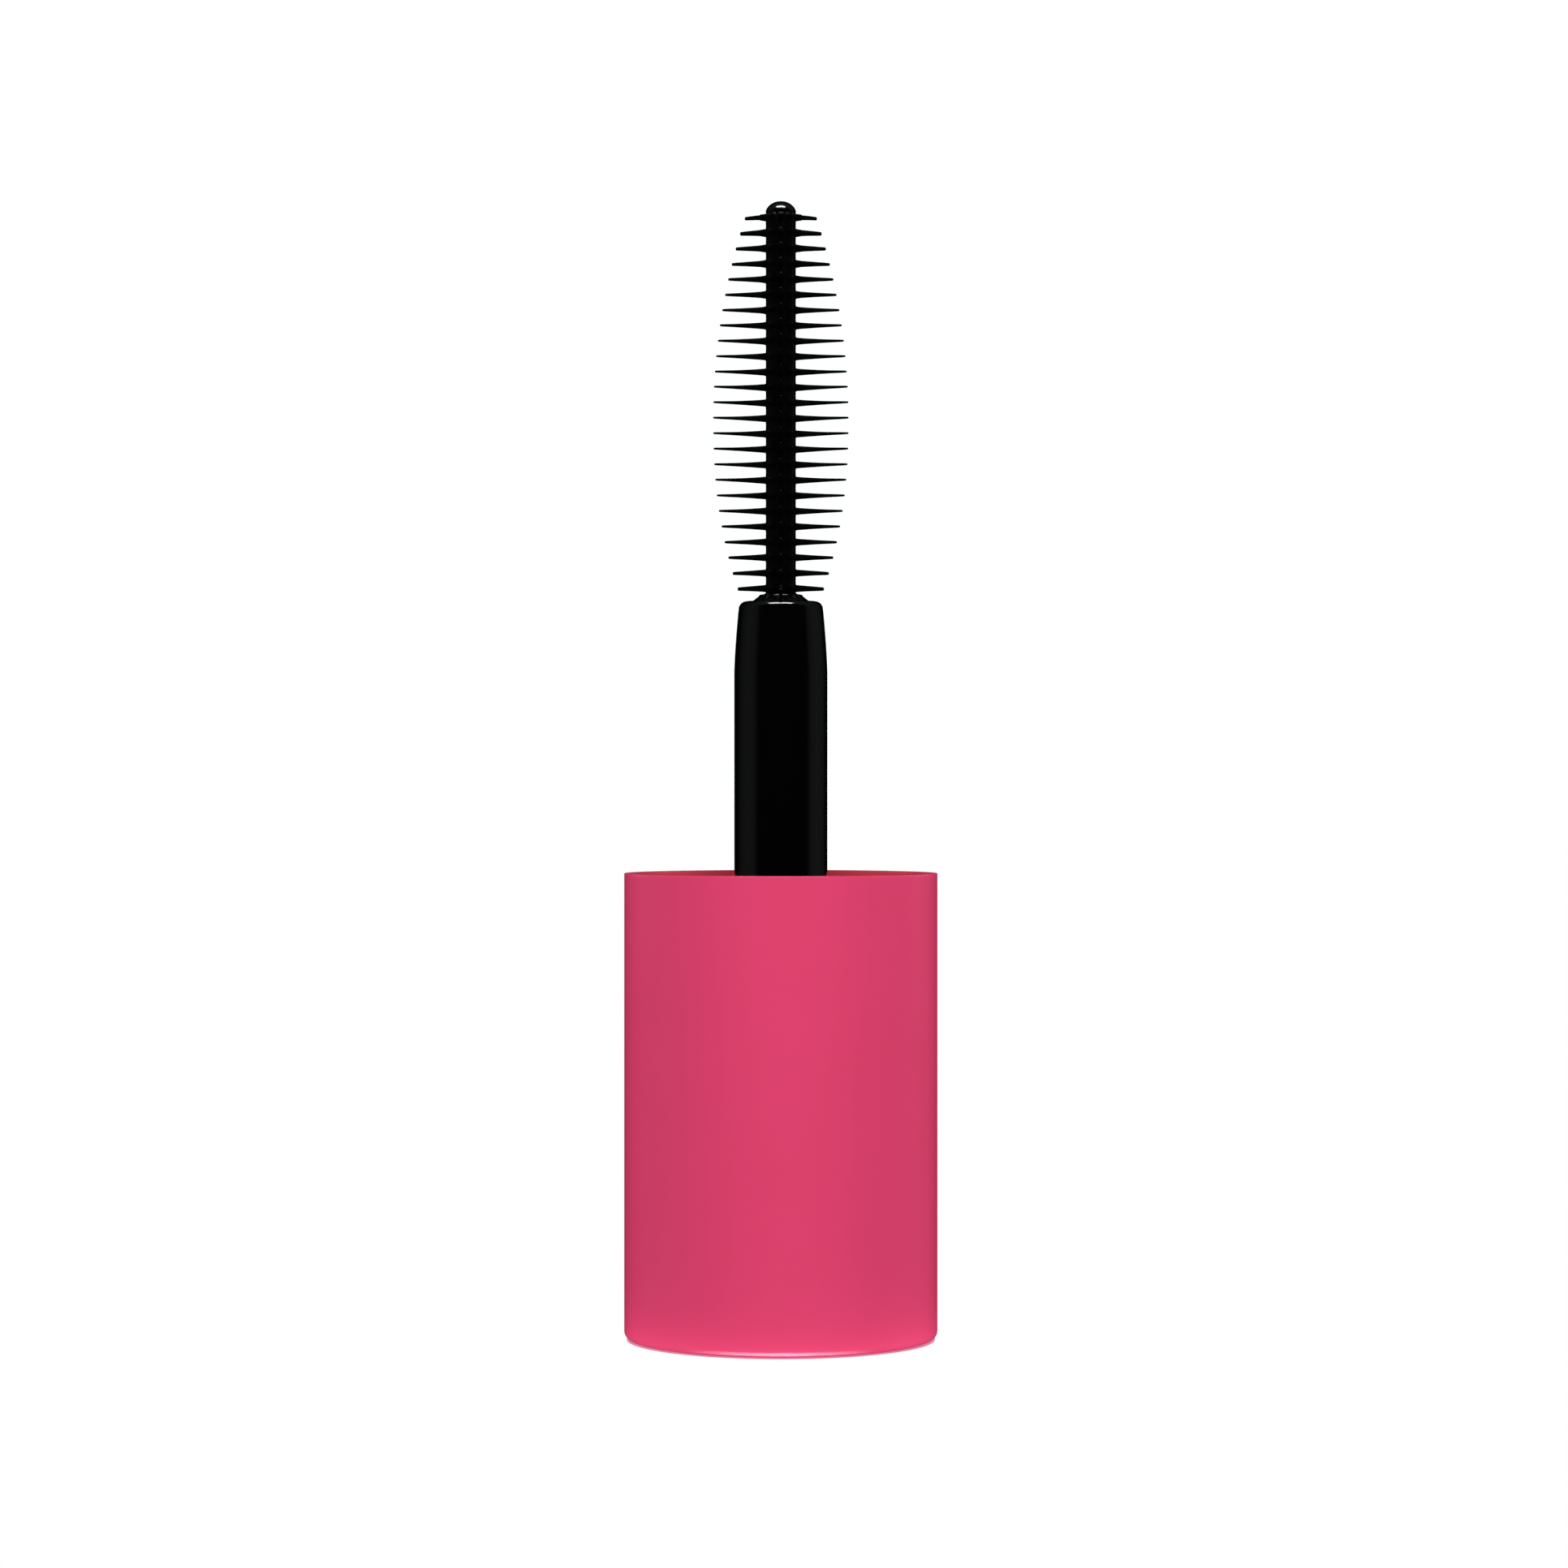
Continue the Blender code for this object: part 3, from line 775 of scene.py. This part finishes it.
class MASCARA_OT_rod(bpy.types.Operator):
    """Rod: glossy stem with a gently tapered top, a flange and a snap plug, cored from below"""
    bl_idname = "mascara.rod"
    bl_label = "Rod"

    def execute(self, context):
        sizes = context.scene.mascara_rod
        low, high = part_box("rod")
        flange, foot, top = high.x, low.z, high.z
        flange_top = sizes.flange_foot + sizes.flange_thickness
        outline = [
            (sizes.brush_bore, sizes.brush_bore_foot),
            (sizes.brush_bore, top),
            (sizes.top_radius, top),
        ]
        for step in range(1, TAPER_STEPS + 1):
            share = 1 - step / TAPER_STEPS
            radius = sizes.radius - (sizes.radius - sizes.top_radius) * share ** sizes.taper_power
            outline.append((radius, sizes.taper_bottom + (top - sizes.taper_bottom) * share))
        outline += [
            (sizes.radius, flange_top),
            (flange, flange_top),
            (flange, sizes.flange_foot),
            (sizes.plug_radius, sizes.flange_foot),
            (sizes.plug_radius, sizes.barb_top),
            (sizes.barb_radius, sizes.barb_top),
            (sizes.barb_radius, sizes.barb_top - sizes.barb_land),
            (sizes.plug_radius - sizes.plug_draft, foot),
            (sizes.coring, foot),
            (sizes.coring, sizes.coring_top - sizes.coring_chamfer),
            (sizes.coring - sizes.coring_chamfer, sizes.coring_top),
        ]
        rod = lathe("wand_rod", outline, ROD_FACETS, solid=True)
        round_edge(rod, sizes.top_radius, top, sizes.shoulder, segments=6)
        round_edge(rod, sizes.brush_bore, top, sizes.bore_edge, segments=2)
        round_edge(rod, flange, flange_top, sizes.flange_edge, segments=3)
        round_edge(rod, flange, sizes.flange_foot, sizes.flange_edge, segments=3)
        round_edge(rod, sizes.radius, flange_top, sizes.flange_fillet, segments=3)
        self.raise_seams(rod, sizes, flange_top + sizes.seam_foot, top - sizes.seam_head)
        close_up(rod)
        fit_out(rod, gloss_black(context.scene.mascara_finishes), "rod")
        return {"FINISHED"}

    @staticmethod
    def raise_seams(rod, sizes, floor, ceiling):
        """Lift the two parting lines of the mould on the straight part and the taper."""
        def on_seam(vert):
            outside = from_axis(vert.co) > (sizes.top_radius + sizes.coring) / 2
            return outside and floor < vert.co.z < ceiling and abs(vert.co.y) < PLACE_TOLERANCE

        pick(rod, "VERT", on_seam)
        share = 1 + sizes.seam / sizes.radius
        bpy.ops.transform.resize(value=(share, 1, 1), center_override=(0, 0, 0))


class MASCARA_OT_brush_core(bpy.types.Operator):
    """Brush core: barbed plug, collar on the rod's shoulder, thin core and domed tip"""
    bl_idname = "mascara.brush_core"
    bl_label = "Brush core"

    def execute(self, context):
        sizes = context.scene.mascara_brush
        low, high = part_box("brush_core")
        collar, foot, tip = high.x, low.z, high.z
        sleeve_low, sleeve_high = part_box("bristle_sleeve")
        outline = [(sizes.plug_neck - sizes.plug_draft, foot)]
        for barb in range(sizes.barbs):
            start = foot + sizes.barb_start + barb * sizes.barb_pitch
            outline += [
                (sizes.plug_neck, start),
                (sizes.plug, start + sizes.barb_rise),
                (sizes.plug_neck, start + sizes.barb_height),
            ]
        outline += [
            (sizes.plug_neck, sizes.collar_foot),
            (collar, sizes.collar_foot),
            (sizes.collar_top_radius, sizes.collar_top - sizes.collar_land),
            (sizes.collar_top_radius, sizes.collar_top),
            (sizes.sleeve + sizes.collar_ledge, sizes.collar_top + sizes.collar_rise),
            (sizes.sleeve, sleeve_low.z - sizes.seat_gap),
            (sizes.core, sleeve_low.z - sizes.seat_gap),
            (sizes.core, sleeve_high.z + sizes.seat_gap),
            (sizes.dome, sleeve_high.z + sizes.seat_gap),
        ]
        for step in range(DOME_STEPS):
            share = math.sin(math.pi / 2 * step / DOME_STEPS)
            radius = sizes.dome * (1 - share ** sizes.dome_rise) ** (1 / sizes.dome_round)
            outline.append((radius, tip - sizes.dome_height * (1 - share)))
        outline.append((TIP_RADIUS, tip))
        core = lathe("brush_core_tip", outline, CORE_FACETS, solid=True)
        round_edge(core, sizes.collar_top_radius, sizes.collar_top, sizes.collar_edge, segments=3)
        close_up(core)
        fit_out(core, gloss_black(context.scene.mascara_finishes), "brush_core")
        return {"FINISHED"}


class MASCARA_OT_bristles(bpy.types.Operator):
    """Bristle sleeve: a thin tube with rings of tapered spikes drawn out of it"""
    bl_idname = "mascara.bristles"
    bl_label = "Bristles"

    def execute(self, context):
        sizes = context.scene.mascara_brush
        low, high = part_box("bristle_sleeve")
        sleeve = self.draw_tube(sizes, low.z, high.z)
        chance = random.Random(LIFT_SEED)
        for ring in range(sizes.rings):
            height = sizes.first_ring + ring * sizes.ring_pitch
            slim = sizes.last_slim if ring == sizes.rings - 1 else 1.0
            tip = self.outline_radius(sizes, height, high.x)
            away = abs(height - sizes.middle) / sizes.lift_reach
            lift = sizes.lift * (1 - away ** sizes.lift_power)
            lift += chance.uniform(-sizes.lift_scatter, sizes.lift_scatter)
            long_steps = [(share * tip + (1 - share) * sizes.sleeve, lift * share ** 2)
                          for share in LONG_SPIKE_STEPS]
            self.draw_spikes(sleeve, sizes, height, True, long_steps, high.x, slim)
            stub = sizes.sleeve + sizes.short_length
            shoulder = sizes.sleeve + sizes.stub_shoulder * sizes.short_length
            short_steps = [(shoulder, 0.0), (stub, 0.0)]
            self.draw_spikes(sleeve, sizes, height, False, short_steps, sizes.stub_taper * stub, slim)
        deselect()
        rounder = sleeve.modifiers.new("rounding", "SUBSURF")
        rounder.levels = 1
        rounder.render_levels = 1
        rounder.use_limit_surface = False
        apply_modifier(sleeve, rounder)
        bpy.ops.object.mode_set(mode="EDIT")
        close_up(sleeve)
        fit_out(sleeve, bristle_black(context.scene.mascara_finishes), "bristle_sleeve")
        return {"FINISHED"}

    @staticmethod
    def outline_radius(sizes, height, widest):
        """Radius of the brush's rounded outline at a height."""
        offset = height - sizes.middle
        if offset > 0:
            fall = (offset / sizes.reach_above) ** sizes.power_above
        else:
            fall = (-offset / sizes.reach_below) ** sizes.power_below
        return widest * (1 - fall)

    @staticmethod
    def draw_tube(sizes, foot, top):
        """The tube, with a level band for each ring of spikes and wide and narrow facets by turns."""
        edge = sizes.sleeve_edge
        half = sizes.root_height / 2
        outline = [(sizes.sleeve, foot), (sizes.sleeve, foot + edge / 2)]
        for ring in range(sizes.rings):
            height = sizes.first_ring + ring * sizes.ring_pitch
            outline += [(sizes.sleeve, height - half), (sizes.sleeve, height + half)]
        outline += [
            (sizes.sleeve, top - edge),
            (sizes.sleeve, top),
            (sizes.sleeve_bore, top),
            (sizes.sleeve_bore, top - edge),
            (sizes.sleeve_bore, foot + edge),
            (sizes.sleeve_bore, foot),
            (sizes.sleeve, foot),
        ]
        around = 2 * sizes.spikes
        column = math.tau / around
        sleeve = lathe("bristles", outline, around, solid=False, turn=column / 2)
        weld()
        widen = (sizes.root_angle - column) / 2
        for side in (-1, 1):
            pick(sleeve, "VERT", lambda vert: abs(
                (bearing(vert.co) - side * column / 2 + column) % (2 * column) - column) < column / 4)
            bpy.ops.transform.rotate(value=-side * widen, orient_axis="Z", center_override=(0, 0, 0))
        return sleeve

    @staticmethod
    def draw_spikes(sleeve, sizes, height, long, steps, reach, slim):
        """Raise one ring's root facets through steps of (radius, lift), each narrower than the last."""
        share = math.tau / sizes.spikes

        def is_root(face):
            centre = face.calc_center_median()
            spike = round(bearing(centre) / share)
            aligned = abs(bearing(centre) - spike * share) < share / 8
            return (aligned and abs(centre.z - height) < PLACE_TOLERANCE
                    and from_axis(centre) > (sizes.sleeve + sizes.sleeve_bore) / 2
                    and (spike % sizes.long_every == 0) == long)

        def thickness(radius):
            left = max(0.0, (reach - radius) / (reach - sizes.sleeve))
            return slim * (sizes.tip_height
                           + (sizes.spike_height - sizes.tip_height) * left ** sizes.taper_power)

        pick(sleeve, "FACE", is_root)
        fillet = (sizes.root_height - slim * sizes.spike_height) / 2
        bpy.ops.mesh.inset(thickness=fillet, depth=fillet, use_individual=True)
        radius, lift = sizes.sleeve + fillet, 0.0
        for next_radius, next_lift in steps:
            narrowing = (thickness(radius) - thickness(next_radius)) / 2
            bpy.ops.mesh.inset(thickness=narrowing, depth=next_radius - radius, use_individual=True)
            bpy.ops.transform.translate(value=(0, 0, next_lift - lift))
            radius, lift = next_radius, next_lift
        bpy.ops.mesh.inset(thickness=sizes.nose_inset * slim * sizes.tip_height, depth=sizes.nose,
                           use_individual=True)


# Studio

def place_light(lamp):
    """One soft rectangular lamp, aimed at its target and seen by one kind of ray."""
    deselect()
    spot, target = MM * Vector(lamp.spot), MM * Vector(lamp.target)
    turn = (target - spot).to_track_quat("-Z", "Y").to_euler()
    bpy.ops.object.light_add(type="AREA", location=spot, rotation=turn)
    light = bpy.context.object
    light.name = lamp.name
    light.data.shape = "RECTANGLE"
    light.data.size, light.data.size_y = (MM * side for side in lamp.size)
    light.data.energy = lamp.radiance * math.pi * light.data.size * light.data.size_y
    light.visible_camera = False
    light.visible_diffuse = lamp.rays == "diffuse"
    light.visible_glossy = lamp.rays == "glossy"


def lay_ring(name, inner, outer, height, material):
    """One flat ring of the stage."""
    deselect()
    bpy.ops.mesh.primitive_circle_add(vertices=RING_FACETS, radius=inner, location=(0, 0, height))
    ring = settle(name)
    bpy.ops.mesh.extrude_region_move()
    bpy.ops.transform.resize(value=(outer / inner, outer / inner, 1), center_override=(0, 0, 0))
    weld()
    deselect()
    ring.data.materials.append(material)
    ring.visible_camera = False
    ring.visible_shadow = False
    return ring


def soft_room(seen, diffuse):
    """Surroundings: a white backdrop, even fill light, and in reflections two dim side panels."""
    world = bpy.data.worlds.new("soft_room")
    world.use_nodes = True
    background = world.node_tree.nodes["Background"]
    place = add_node(world, "ShaderNodeTexCoord")
    turn = add_node(world, "ShaderNodeMapping", {"Rotation": (0, 0, PANEL_TURN)})
    split = add_node(world, "ShaderNodeSeparateXYZ")
    depth = add_node(world, "ShaderNodeMapRange", {"From Min": -1})
    panels = add_node(world, "ShaderNodeValToRGB")
    for _ in range(len(PANEL_STOPS) - len(panels.color_ramp.elements)):
        panels.color_ramp.elements.new(0.5)
    for element, stop in zip(panels.color_ramp.elements, PANEL_STOPS):
        element.position = stop.position
        element.color = (*[stop.brightness] * 3, 1)
    rays = add_node(world, "ShaderNodeLightPath")
    inner = add_node(world, "ShaderNodeMix", {"A": diffuse})
    outer = add_node(world, "ShaderNodeMix", {"B": seen})
    link(place, "Generated", turn, "Vector")
    link(turn, "Vector", split, "Vector")
    link(split, "Y", depth, "Value")
    link(depth, "Result", panels, "Fac")
    link(panels, "Color", inner, "B")
    link(rays, "Is Glossy Ray", inner, "Factor")
    link(inner, "Result", outer, "A")
    link(rays, "Is Camera Ray", outer, "Factor")
    link(outer, "Result", background, "Strength")
    set_inputs(background, {"Color": ROOM_TINT})
    bpy.context.scene.world = world


class MASCARA_OT_studio(bpy.types.Operator):
    """White light table, soft lamps and the camera"""
    bl_idname = "mascara.studio"
    bl_label = "Studio"

    def execute(self, context):
        sizes = context.scene.mascara_studio
        self.lay_floor(context.scene.mascara_finishes)
        soft_room(seen=1.0, diffuse=0.37)
        for lamp in LAMPS:
            place_light(lamp)
        deselect()
        place = (sizes.camera_aside, -sizes.camera_distance, sizes.camera_height)
        bpy.ops.object.camera_add(location=place, rotation=(math.pi / 2, 0, 0))
        camera = bpy.context.object
        camera.name = "camera"
        camera.data.lens = sizes.lens
        camera.data.sensor_width = SENSOR_WIDTH
        camera.data.clip_start = CLIP_START
        context.scene.camera = camera
        context.scene.view_settings.view_transform = "Standard"
        return {"FINISHED"}

    @staticmethod
    def lay_floor(finishes):
        """A wide table that only the camera sees, and bright rings that only light the cap."""
        deselect()
        bpy.ops.mesh.primitive_circle_add(vertices=TABLE_FACETS, radius=TABLE_RADIUS, fill_type="NGON",
                                          location=(0, 0, -TABLE_DEPTH))
        table = settle("table")
        deselect()
        table.data.materials.append(light_table(finishes))
        table.visible_diffuse = False
        table.visible_glossy = False
        table.visible_shadow = False
        glow = table_glow("rim_glint", strength=29.0, far_strength=0.05, half_width=5 * MM)
        glint = lay_ring("rim_glint", inner=7.87 * MM, outer=8.24 * MM, height=-TABLE_DEPTH / 4,
                         material=glow)
        glint.visible_diffuse = False
        glow = table_glow("rim_bounce", strength=0.95, far_strength=1.35, half_width=8 * MM)
        bounce = lay_ring("rim_bounce", inner=7.72 * MM, outer=9.5 * MM, height=-TABLE_DEPTH / 2,
                          material=glow)
        bounce.visible_glossy = False


class MASCARA_PT_panel(bpy.types.Panel):
    """Lists the pieces and the sizes"""
    bl_label = "Mascara cap and wand"
    bl_idname = "MASCARA_PT_panel"
    bl_space_type = "VIEW_3D"
    bl_region_type = "UI"
    bl_category = "Mascara"

    def draw(self, context):
        for operator in OPERATORS:
            self.layout.operator(operator.bl_idname)
        for name, group in GROUPS.items():
            box = self.layout.box()
            box.label(text=group.__name__)
            settings = getattr(context.scene, name)
            for key in group.__annotations__:
                box.prop(settings, key)


GROUPS = {
    "mascara_overshell": OvershellSizes,
    "mascara_liner": LinerSizes,
    "mascara_washer": WasherSizes,
    "mascara_rod": RodSizes,
    "mascara_brush": BrushSizes,
    "mascara_finishes": Finishes,
    "mascara_studio": StudioSizes,
}
OPERATORS = (
    MASCARA_OT_overshell,
    MASCARA_OT_liner,
    MASCARA_OT_washer,
    MASCARA_OT_rod,
    MASCARA_OT_brush_core,
    MASCARA_OT_bristles,
    MASCARA_OT_studio,
)


def register():
    for name, group in GROUPS.items():
        bpy.utils.register_class(group)
        setattr(bpy.types.Scene, name, PointerProperty(type=group))
    for operator in OPERATORS:
        bpy.utils.register_class(operator)
    bpy.utils.register_class(MASCARA_PT_panel)


def unregister():
    bpy.utils.unregister_class(MASCARA_PT_panel)
    for operator in reversed(OPERATORS):
        bpy.utils.unregister_class(operator)
    for name, group in GROUPS.items():
        delattr(bpy.types.Scene, name)
        bpy.utils.unregister_class(group)


def main():
    register()
    bpy.ops.mascara.overshell()
    bpy.ops.mascara.liner()
    bpy.ops.mascara.washer()
    bpy.ops.mascara.rod()
    bpy.ops.mascara.brush_core()
    bpy.ops.mascara.bristles()
    bpy.ops.mascara.studio()


if __name__ == "__main__":
    main()
